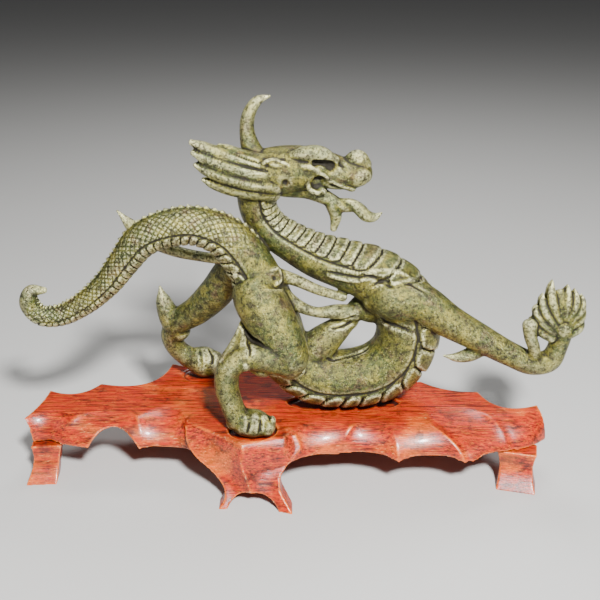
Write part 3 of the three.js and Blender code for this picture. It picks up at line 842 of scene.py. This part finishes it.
@dataclass
class Dragon:
    """The bronze casting: body, limbs, head and the flaming pearl."""

    head_plane_y: float = 13.0
    head_roll: float = 18.0
    lock_sag: float = 2.2
    voxel: float = 0.5
    triangles: int = 190_000

    def on_head(self, x: float, side: float, z: float) -> Point:
        """A place given about the head's own middle plane, as a place in the drawing."""
        roll = math.radians(self.head_roll)
        return (x, self.head_plane_y + side * math.cos(roll), z - side * math.sin(roll))

    def head_strand(self, stations: Iterable[Station], **how: object) -> bpy.types.Object:
        """A strand whose stations are given on the head, y from the middle plane's place."""
        turned = [(*self.on_head(x, y - self.head_plane_y, z), r) for x, y, z, r in stations]
        return Strand(turned, **how).build()

    def head(self) -> list[bpy.types.Object]:
        """The head with its horn, mane, ears, brows, lips, beard and tongue."""
        parts = [self.head_strand(stations, grain=0.7) for stations in HEAD.values()]
        for side in (-1, 1):
            parts += [self.lock(lock, side) for lock in LOCKS]
            parts += self.face(side)
        return parts

    def lock(self, lock: Lock, side: int) -> bpy.types.Object:
        """One lock of the mane on one side of the head."""
        stations = []
        for along, thick, out in (
                (0, 1.0, 0.8), (0.3, 1.0, 1), (0.62, 0.92, 1), (0.86, 0.7, 0.94), (0.97, 0.34, 0.9)
        ):
            x, z = (a + (b - a) * along for a, b in zip(lock.root, lock.tip))
            sag = self.lock_sag * 4 * along * (1 - along)
            stations.append((x, self.head_plane_y + side * lock.off * out, z - sag, lock.thick * thick))
        return self.head_strand(stations, grain=0.7)

    def face(self, side: int) -> list[bpy.types.Object]:
        """What one side of the face carries."""
        plane = self.head_plane_y
        brow = [(-4, plane + side * 6.5, 171, 2.8), (3, plane + side * 7.8, 172.5, 3.9),
                (10.5, plane + side * 7.6, 172.2, 4.0), (17.5, plane + side * 6, 168.8, 2.6)]
        cheek = [(-3, plane + side * 9, 166, 2.4), (5, plane + side * 9.4, 165.3, 2.2),
                 (12, plane + side * 8.4, 161.2, 2.0), (20, plane + side * 6.8, 156.6, 1.9),
                 (27, plane + side * 4.5, 154.8, 1.8)]
        ring = [(9 + 5.0 * math.cos(t), plane + side * 9.2, 157.6 + 5.0 * math.sin(t), 1.6)
                for t in np.radians(np.arange(30, 300, 30))]
        rim = [(x, plane + side * 10.8, z, 1.1) for x, z in (
            (-18, 167.6), (-13.8, 169.6), (-8.9, 168.1), (-4.5, 165), (-7.5, 162.6), (-13, 163.6))]
        muzzle = self.on_head(28.5, side * 3.4, 161.0)
        eye = self.on_head(14.0, side * 6.6, 165.4)
        ear = self.on_head(-11, side * 10.6, 166.4)
        tooth = self.on_head(10.5, side * 7.6, 153.6)
        return [
            self.head_strand(brow, grain=0.6), self.head_strand(cheek, grain=0.6),
            self.head_strand(ring, grain=0.6),
            self.head_strand(rim, grain=0.6), add_ball(muzzle, (7.6, 4.8, 5.6), turn_y=-12),
            add_ball(eye, (2.1, 2.1, 2.1)), add_ball(ear, (5.4, 1.7, 2.3), turn_y=14),
            add_ball(tooth, (3.4, 1.6, 1.8), turn_y=20),
        ]

    def pearl(self) -> list[bpy.types.Object]:
        """The flaming pearl that the outstretched paw holds up."""
        x, y, z = 136.2, -8.0, 96.0
        tips = [(-15.6, -3.5, -14), (-14.2, 3.4, -11), (-11.6, 9.8, -8), (-7.6, 17.4, -4),
                (0.6, 14.6, -2), (4.2, 12.4, -3), (8.2, 9.2, -5), (9.0, 3.4, -8), (9.0, -4.0, -12)]
        parts = [add_ball((x, y, 87), (7.6, 7.2, 7.6)),
                 add_ball((x - 0.5, y, z - 1), (8.6, 6.0, 13), turn_y=-12)]
        for across, up, root in tips:
            lean = math.copysign(3.5, across) if abs(across) > 2 else 0
            for layer in (-1, 1):
                parts.append(Strand([
                    (x + 0.35 * across, y + layer * 3.2, z + root, 3.0),
                    (x + 0.72 * across + 0.4 * lean, y + layer * 3.0, z + root + 0.42 * (up - root), 2.8),
                    (x + 0.96 * across + 0.2 * lean, y + layer * 1.8, z + root + 0.78 * (up - root), 1.7),
                    (x + across, y + layer * 0.6, z + up, 0.3)], grain=0.5).build())
        lumps = np.random.default_rng(7)
        for _ in range(26):
            turn, rise = lumps.uniform(0, 2 * math.pi), lumps.uniform(-0.7, 0.9)
            r = lumps.uniform(1.2, 2.1)
            flat = math.sqrt(1 - rise * rise)
            parts.append(add_ball(
                (x + 6.6 * flat * math.cos(turn), y + 6.4 * flat * math.sin(turn), 89 + 7.5 * rise),
                (r, r, r * 0.9), sides=16))
        return parts

    def tool(self, skin: Skin) -> None:
        """Cuts the folds, grooves and hollows into the fused skin."""
        for side in (-1, 1):
            self.tool_head(skin, side)
        self.tool_hips(skin)
        self.tool_shoulder(skin)
        self.tool_paws(skin)

    def tool_hips(self, skin: Skin) -> None:
        """The near leg's leaf fold, curled flame root, thigh crease, tendons and knee rim."""
        skin.stroke([(-33.5, -5.5, 120.5), (-32.5, -4, 113.5), (-27.5, -6.5, 110),
                     (-21.5, -10.5, 109.5)], 1.4, 1.5)
        skin.stroke([(-35, -4.5, 118), (-34, -3, 111), (-28.5, -5.5, 107.3), (-21.5, -9.5, 106.8)],
                    0.8, -1.3)
        skin.stroke([(-15.5, -5.5, 116), (-12, -1.5, 116), (-10.5, -2.5, 111), (-13, -8.5, 109)], 1.2, 1.3)
        skin.dent((-13.5, -5, 112.5), 1.5, 1.4)
        skin.stroke([(-31, -10.5, 88), (-27, -13.5, 84.5), (-21, -19.5, 83), (-15.5, -22, 80)], 1.4, -1.7)
        skin.stroke([(-5, -13.5, 93.5), (1, -14.5, 83.5), (3.5, -13.5, 71), (1.5, -9, 60),
                     (-5.5, -8.5, 54.5)], 0.9, 1.1)
        for sinew in (
                ((-30, -14, 85), (-34, -19, 80), (-38, -24, 76)),
                ((-29, -14.5, 84.5), (-30.5, -22, 80), (-32.5, -27.5, 76)),
                ((-27.5, -15.5, 83.5), (-25.5, -24, 81), (-25.5, -26.5, 77))):
            skin.stroke(sinew, 0.8, -1.0)

    def tool_shoulder(self, skin: Skin) -> None:
        """Raised folds along the neck's flank, and the creases round the shoulder."""
        skin.stroke([(18.5, 0.5, 115.5), (34, -2.5, 114.5), (42, -2, 115.5), (51.5, -1, 113.5),
                     (63, -3, 107)], 1.3, 1.4)
        skin.stroke([(12, 2, 112), (20.5, 0, 110.5), (30, -2, 110), (38, -3.5, 112.5)], 1.2, 1.2)
        skin.stroke([(10, 3, 114.5), (20, 0, 113), (31, -2, 112.3), (39, -3.5, 114)], 0.8, -1.2)
        skin.stroke([(35, -3.5, 106.5), (42, -4.5, 110.5), (50.5, -3, 110), (60.5, -6, 106.5),
                     (69, -8, 101.5)], 1.1, -1.7)
        skin.stroke([(35.5, -0.5, 95), (43, -2, 87.5), (51, -6.5, 86), (62.5, -7.5, 83)], 1.4, -1.7)
        skin.stroke([(12, -3, 66), (19.5, -1, 63), (31.5, 1.5, 65.5), (39, 3.5, 70)], 0.9, -1.4)

    def tool_paws(self, skin: Skin) -> None:
        """Toes and knuckles of the near paw, the far hind paw and the far forepaw."""
        for knuckle in ((-28.5, -28, 43), (-23.5, -29, 44), (-18.5, -28, 43.5), (-14, -25.5, 42)):
            skin.dent(knuckle, 2.2, -1.3)
        for gap in (
                ((-25.5, -26, 45), (-26.5, -31, 40.5), (-27.5, -31, 36)),
                ((-21.3, -25, 45), (-20.6, -30, 42), (-21.5, -31.5, 36)),
                ((-17, -22, 44), (-16, -27, 42), (-15.5, -29.5, 38)),
                ((-58.5, 35, 51), (-56.5, 29.5, 47), (-56.5, 28, 42)),
                ((-53.5, 37, 51), (-50.5, 31, 48), (-51, 28, 43.5)),
                ((18, 2, 84.5), (24.5, 1.5, 86.5), (30, 2, 88.5)),
                ((16, 0.5, 81), (22.5, 1.5, 82), (29, 3.5, 84))):
            skin.stroke(gap, 0.9, -1.7)

    def tool_head(self, skin: Skin, side: int) -> None:
        """Tools one side of the head."""
        def line(*spots: Point) -> list[Point]:
            return [self.on_head(x, side * off, z) for x, off, z in spots]

        for groove in (
                ((-18, 11, 166.7), (-30, 10, 170.8), (-42, 8, 174.6)),
                ((-14, 12, 163), (-25, 12, 165), (-37, 11, 168.2), (-53, 9, 175)),
                ((-14, 12, 156), (-25, 13, 158), (-37, 12, 161.5), (-52, 9, 169)),
                ((-16, 11, 152.9), (-32, 11, 155.9), (-49, 8, 160.7))):
            skin.stroke(line(*groove), 0.8, -1.7, Fade.START, 1.4)
        skin.dent(self.on_head(-7.5, side * 11, 157.9), 1.7, 2.6)
        skin.dent(self.on_head(9.2, side * 10.5, 157.4), 2.5, 4.2)
        skin.dent(self.on_head(15, side * 9, 165.6), 3.0, 2.6)
        skin.stroke(line((-18, 11, 170.4), (-12, 11, 171.3), (-6, 10.5, 169.2)), 1.2, -1.6, Fade.BOTH)
        skin.stroke(line((5, 10, 168), (11, 9.5, 167.6), (17.5, 8, 164.8)), 1.5, -2.4, Fade.BOTH)
        skin.stroke(line((14, 8, 157.4), (20, 7, 154), (26, 5, 152.4)), 1.3, -2.4, Fade.BOTH)
        skin.stroke(line((19, 7, 168), (22.5, 6, 164.5), (24, 6, 160)), 1.1, -1.2, Fade.BOTH)

    def build(self) -> bpy.types.Object:
        """Lays up, fuses, tools and finishes the casting."""
        parts = [Strand(SPINE).build()]
        parts += [Strand(stations).build() for stations in LIMBS.values()]
        parts += [Strand(stations, grain=0.7).build() for stations in TENDONS]
        parts += self.head() + self.pearl()
        casting = fuse(parts, "dragon_casting", self.voxel)
        skin = Skin(casting)
        x, _, z = skin.points.T
        face = smoothstep(-38, -30, x) * smoothstep(148, 154, z)
        hand = smoothstep(112, 118, x) * smoothstep(72, 78, z)
        skin.fillet(30, (1 - face) * (1 - hand))
        skin.fillet(4, np.maximum(face, hand))
        skin.soften(1)
        skin.read_normals()
        BodyRelief().raise_skin(skin)
        self.tool(skin)
        skin.read_normals()
        # The hollow numbers drive the patina's colour, including its painted shade in the hollows and
        # painted highlight on the high edges.
        skin.keep("hollow", skin.hollowness(5, 0.18))
        skin.keep("broad_hollow", skin.hollowness(60, 1.6))
        thin_out(casting, self.triangles)
        casting.data.materials.clear()
        casting.data.materials.append(Patina().material())
        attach(casting, "root")
        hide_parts("dragon")
        return casting


# ---- the stand ------------------------------------------------------------------------------

@dataclass(frozen=True)
class Crest:
    """A crest from the flat top down to its foot, and the hollow that follows it.

    The hollow bites into the top edge (bay) and the lower edge (under), which rises (lift).
    """

    top: tuple[float, float]
    foot: tuple[float, float]
    bay: float = 0.4
    under: float = 0.4
    lift: float = 0.0


# Counterclockwise from the left tip.
CRESTS = [
    Crest((-150, -13), (-145.5, -15), 7, 2, 1), Crest((-120, -10), (-130, -17), 6, -3, 1),
    Crest((-88.4, -10.8), (-84.5, -21), 15, 1, 1.5), Crest((-60.2, -17.2), (-60, -22)),
    Crest((-30.2, -38.5), (-29, -42)), Crest((-7.8, -30.7), (-7.8, -37), 10, 2, 2),
    Crest((27.9, -20.9), (22, -27), 5.5, 3, 2), Crest((48.3, -18.4), (51.8, -34), 1.5, 4, 2.5),
    Crest((70.5, -20.5), (86.5, -34.5)), Crest((65.7, -7.4), (91.5, -33.5), 9, 1, 2),
    Crest((101.5, -9), (112, -24)), Crest((109, -8), (116.5, -22.5), 0.4, -2, 1),
    Crest((131.6, -4), (134.5, -11)), Crest((131.5, 2), (133.5, 3), 11, 9, 2),
    Crest((101, 16), (103, 19), 4, 3, 2), Crest((70, 28), (71, 31), 6, 4, 2),
    Crest((37, 38), (38, 41), 3, 2, 2), Crest((-12, 48.5), (-12, 51), 3, 2, 2),
    Crest((-58, 43), (-58, 45.5), 0.4, 0.4, 1), Crest((-77, 50), (-77, 52), 14, 12, 2),
    Crest((-115, 25.5), (-116, 28), 8, 6, 2), Crest((-142.5, 18), (-143.5, 19.5), 1.5, 1, 1),
]
@dataclass(frozen=True)
class LegSection:
    """The cloven front leg at one height: its left edge, middle crest and right edge."""

    z: float
    left: tuple[float, float]
    middle: tuple[float, float]
    right: tuple[float, float]
    bay: float                   # how far the hollows between them bite in


LEG_SECTIONS = [
    LegSection(33, (-61.5, -19.5), (-31, -38.5), (-2, -28), 2.5),
    LegSection(26.5, (-60, -26.5), (-30.5, -41.3), (0.5, -32), 2.5),
    LegSection(20.5, (-54.5, -31.5), (-29.5, -43), (-6, -37), 2.5),
    LegSection(15, (-46.5, -35.5), (-27.5, -44), (-10, -41.5), 2),
    LegSection(9, (-40.5, -40), (-25.5, -45.5), (-9.8, -45.5), 1.5),
    LegSection(4, (-39.5, -44.5), (-24.5, -46.5), (-6.5, -49), 1),
    LegSection(0, (-42.5, -48), (-24, -47.5), (-3.5, -52.2), 0.6),
]
LEG_ARCH = ((-24.3, -45, -4), (14, 30, 12))
ARCH = ((-100.5, -20, 12), (15, 26, 18))


@dataclass(frozen=True)
class Pocket:
    """A shallow pocket that the casting stands in."""

    at: tuple[float, float]
    half: tuple[float, float]
    depth: float


POCKETS = [
    Pocket((-25, -23.5), (12.8, 11), 3.6), Pocket((-56, 36.5), (13, 9.5), 1.2),
    Pocket((24, 4.5), (31, 9.5), 2.2),
]


@dataclass(frozen=True)
class Foot:
    """A glued-on foot: where it stands, its half size, its toe's flare and its turn."""

    at: tuple[float, float]
    half: tuple[float, float]
    flare: tuple[float, float]
    turn: float = 0.0


FEET = {
    "foot_left": Foot((-138, -12), (8.2, 6), (-3, -8), 4),
    "foot_right": Foot((117.5, -19), (10.4, 6), (1, -8), -14),
    "foot_back_left": Foot((-76, 36), (8.5, 6), (0, 6)),
    "foot_back_right": Foot((72, 12), (8.5, 6), (3, 6)),
}


def add_face(outline: np.ndarray) -> bpy.types.Object:
    """A flat face with a given outline.

    Args:
        outline: its corners in the drawing, one row each.
    """
    deselect_all()
    bpy.ops.mesh.primitive_circle_add(vertices=len(outline), radius=1, fill_type="NGON")
    face = bpy.context.object
    place = read_points(face)
    turn = np.arctan2(place[:, 1], place[:, 0] + CENTRE_SHIFT)
    write_points(face, outline[np.argsort(np.argsort(turn))])
    return face


def add_plate(outline: np.ndarray, height: Point) -> bpy.types.Object:
    """A flat outline extruded to a solid.

    Args:
        outline: its corners in the drawing, one row each.
        height: which way and how far it is extruded.
    """
    plate = add_face(outline)
    bpy.ops.object.mode_set(mode="EDIT")
    bpy.ops.mesh.select_all(action="SELECT")
    bpy.ops.mesh.extrude_region_move(TRANSFORM_OT_translate={"value": tuple(v * MM for v in height)})
    bpy.ops.object.mode_set(mode="OBJECT")
    close_up(plate)
    return plate


def loft(rings: Sequence[np.ndarray], name: str) -> bpy.types.Object:
    """A solid lofted through rings of equal length, from the top one down, closed at its ends."""
    around = len(rings[0])
    skirt, column, row = add_sheet(around, len(rings) - 1)
    write_points(skirt, np.stack(rings)[row, column % around])
    solid = join_all([skirt, add_face(rings[0]), add_face(rings[-1])], name)
    close_up(solid)
    return solid


def close_up(piece: bpy.types.Object) -> None:
    """Merges points that meet and turns all faces outwards."""
    choose(piece)
    bpy.ops.object.mode_set(mode="EDIT")
    bpy.ops.mesh.select_all(action="SELECT")
    bpy.ops.mesh.remove_doubles(threshold=0.01 * MM)
    bpy.ops.mesh.normals_make_consistent(inside=False)
    bpy.ops.object.mode_set(mode="OBJECT")


def along_edge(start: tuple[float, float], end: tuple[float, float], u: np.ndarray,
               bite: np.ndarray) -> np.ndarray:
    """Points between two crests, moved in towards the slab's middle.

    Args:
        start, end: the two ends.
        u: shares of the way between them.
        bite: how far in each point goes, in millimetres.
    """
    a, b = np.array(start, float), np.array(end, float)
    inward = np.array([-(b - a)[1], (b - a)[0]]) / np.linalg.norm(b - a)
    return a + (b - a) * u[:, None] + inward * bite[:, None]


@dataclass
class Stand:
    """The carved stand: slab with a scalloped edge, cloven front leg and four glued feet."""

    underside: float = 19.5
    roll_over: float = 0.75      # how far the edge rolls over, from straight to a quarter round
    steps: int = 18              # steps from one crest to the next
    rows: int = 16               # steps down the edge
    leg_top: float = 17.0        # how thick the leg is at the top and at its toes
    leg_toes: float = 10.5
    foot_waist: float = 0.16
    foot_sweep: float = 2.2
    gap: float = 0.3
    voxel: float = 0.6
    triangles: int = 150_000

    def ring(self, down: float) -> np.ndarray:
        """One ring round the slab's edge, from 0 at the flat top to 1 at the lower edge."""
        quarter = down * math.pi / 2
        out = self.roll_over * math.sin(quarter) + (1 - self.roll_over) * down
        drop = self.roll_over * (1 - math.cos(quarter)) + (1 - self.roll_over) * down
        u = np.arange(self.steps) / self.steps
        bow = 4 * u * (1 - u)
        rows = []
        for crest, following in zip(CRESTS, [*CRESTS[1:], CRESTS[0]]):
            top = along_edge(crest.top, following.top, u, crest.bay * bow)
            foot = along_edge(crest.foot, following.foot, u, crest.under * bow)
            low = self.underside + crest.lift * bow
            rows.append(np.column_stack([top + (foot - top) * out, STAND_TOP - (STAND_TOP - low) * drop]))
        return np.concatenate(rows)

    def slab(self) -> bpy.types.Object:
        """The slab, lofted down its crests and hollows from the flat top to the underside."""
        return loft([self.ring(row / self.rows) for row in range(self.rows + 1)], "stand_slab")

    def leg(self) -> bpy.types.Object:
        """The cloven front leg, lofted down its sections."""
        u = np.arange(self.steps) / self.steps
        rings = []
        for cut in LEG_SECTIONS:
            thick = self.leg_toes + (self.leg_top - self.leg_toes) * cut.z / STAND_TOP
            bite = 4 * cut.bay * u * (1 - u)
            edge = np.array([cut.right, cut.middle, cut.left])
            front = [along_edge(cut.left, cut.middle, u, bite),
                     along_edge(cut.middle, cut.right, u, bite), edge[:1]]
            outline = np.vstack([*front, edge + np.array([0, thick])])
            rings.append(np.column_stack([outline, np.full(len(outline), float(cut.z))]))
        flat = np.stack(rings).reshape(len(rings), -1)
        return loft(through(flat, per_span=6, even=True).reshape(-1, len(rings[0]), 3), "stand_leg")

    def cutters(self) -> list[bpy.types.Object]:
        """Everything that is carved away."""
        balls = [add_ball(*ARCH, sides=72), add_ball(*LEG_ARCH, sides=72)]
        for pocket in POCKETS:
            turn = np.linspace(0, 2 * math.pi, 64, endpoint=False)
            ring = np.column_stack([
                pocket.at[0] + pocket.half[0] * np.cos(turn),
                pocket.at[1] + pocket.half[1] * np.sin(turn),
                np.full(64, STAND_TOP - pocket.depth)])
            balls.append(add_plate(ring, (0, 0, 20)))
        return balls

    def top(self) -> bpy.types.Object:
        """The slab and front leg, carved."""
        top, leg = self.slab(), self.leg()
        top.name = top.data.name = "stand_top_carved"
        apply_modifier(top, "BOOLEAN", operation="UNION", object=leg, solver="EXACT")
        bpy.data.objects.remove(leg, do_unlink=True)
        for cutter in self.cutters():
            apply_modifier(top, "BOOLEAN", operation="DIFFERENCE", object=cutter, solver="EXACT")
            bpy.data.objects.remove(cutter, do_unlink=True)
        apply_modifier(top, "REMESH", mode="VOXEL", voxel_size=self.voxel * MM)
        skin = Skin(top)
        skin.soften(5)
        skin.read_normals()
        # The hollow numbers drive the lacquer's colour, including its painted shade in creases and broad
        # hollows.
        skin.keep("hollow", skin.hollowness(6, 0.25))
        skin.keep("broad_hollow", skin.hollowness(60, 1.6))
        thin_out(top, self.triangles)
        return top

    def foot(self, name: str, foot: Foot) -> bpy.types.Object:
        """A glued-on foot, whose toe flares outwards and whose waist is drawn in."""
        deselect_all()
        bpy.ops.mesh.primitive_cube_add(size=2)
        block = bpy.context.object
        block.name = block.data.name = name
        bpy.ops.object.mode_set(mode="EDIT")
        bpy.ops.mesh.select_all(action="SELECT")
        bpy.ops.mesh.subdivide(number_cuts=11)
        bpy.ops.object.mode_set(mode="OBJECT")
        place = read_points(block)
        flat = (place + np.array([CENTRE_SHIFT, 0, 0])) * MM
        height = self.underside - self.gap
        down = np.clip((1 - flat[:, 2]) / 2, 0, 1)
        waist = 1 - self.foot_waist * np.sin(math.pi * down)
        swing = down ** self.foot_sweep
        x, y = (half * flat[:, i] * waist + foot.flare[i] * swing for i, half in enumerate(foot.half))
        turn = math.radians(foot.turn)
        write_points(block, np.column_stack([
            foot.at[0] + x * math.cos(turn) - y * math.sin(turn),
            foot.at[1] + x * math.sin(turn) + y * math.cos(turn),
            height * (1 - down)]))
        apply_modifier(block, "REMESH", mode="VOXEL", voxel_size=0.5 * MM)
        skin = Skin(block)
        skin.soften(4)
        low, high = skin.points[:, 2].min(), skin.points[:, 2].max()
        skin.points[:, 2] = (skin.points[:, 2] - low) * height / (high - low)
        skin.read_normals()
        # The hollow numbers drive the lacquer's colour, including its painted shade in creases and broad
        # hollows.
        skin.keep("hollow", skin.hollowness(6, 0.25))
        skin.keep("broad_hollow", skin.hollowness(30, 1.6))
        thin_out(block, 16_000)
        return block

    def build(self) -> list[bpy.types.Object]:
        """Makes and finishes the stand's five pieces."""
        lacquer = Lacquer().material()
        pieces = {"stand_top": self.top()}
        for node, foot in FEET.items():
            pieces[node] = self.foot(f"{node}_carved", foot)
        for node, piece in pieces.items():
            piece.data.materials.clear()
            piece.data.materials.append(lacquer)
            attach(piece, "root")
            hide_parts(node)
        return list(pieces.values())


# ---- the studio -----------------------------------------------------------------------------

@dataclass
class Studio:
    """Camera, soft lights and a plain pale floor."""

    target: Point = (1.5, 7, 95)
    distance: float = 479.0
    elevation: float = 24.0          # degrees that the camera looks down
    lens: float = 54.0

    def camera(self) -> None:
        """Looks down at the casting's near side."""
        tilt = math.radians(self.elevation)
        away = np.array([0, -math.cos(tilt), math.sin(tilt)]) * self.distance
        deselect_all()
        bpy.ops.object.camera_add(location=tuple((np.array(self.target) + away) * MM),
                                  rotation=(math.pi / 2 - tilt, 0, 0))
        camera = bpy.context.object
        camera.data.lens = self.lens
        camera.data.clip_start = 0.01
        bpy.context.scene.camera = camera

    def light(self, name: str, place: Point, size: float, watts: float) -> None:
        """A square soft light that looks at the casting."""
        deselect_all()
        bpy.ops.object.light_add(type="AREA", location=tuple(v * MM for v in place))
        lamp = bpy.context.object
        lamp.name = name
        lamp.data.size = size * MM
        lamp.data.energy = watts
        aim = np.array([0, 0, 80]) - np.array(place)
        lamp.rotation_euler = Vector(aim).to_track_quat("-Z", "Y").to_euler()

    def floor(self) -> None:
        """The pale floor."""
        deselect_all()
        bpy.ops.mesh.primitive_plane_add(size=8)
        floor = bpy.context.object
        floor.name = "floor"
        floor.data.materials.append(FloorPaint().material())

    def build(self) -> None:
        """Sets up everything that isn't part of the object."""
        self.camera()
        self.light("key", (190, -640, 720), 110, 30)
        self.light("fill", (-640, -300, 420), 420, 0.6)
        self.light("back", (60, 420, 820), 320, 4)
        world = bpy.data.worlds.new("soft_room")
        bpy.context.scene.world = world
        world.use_nodes = True
        world.node_tree.nodes["Background"].inputs["Color"].default_value = (0.85, 0.86, 0.88, 1)
        world.node_tree.nodes["Background"].inputs["Strength"].default_value = 0.08
        self.floor()


def main() -> None:
    """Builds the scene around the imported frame."""
    logging.basicConfig(level=logging.INFO, format="%(message)s")
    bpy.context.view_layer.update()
    deselect_all()
    Studio().build()
    for piece in [Dragon().build(), *Stand().build()]:
        LOG.info("%s: %d faces", piece.name, len(piece.data.polygons))


if __name__ == "__main__":
    main()
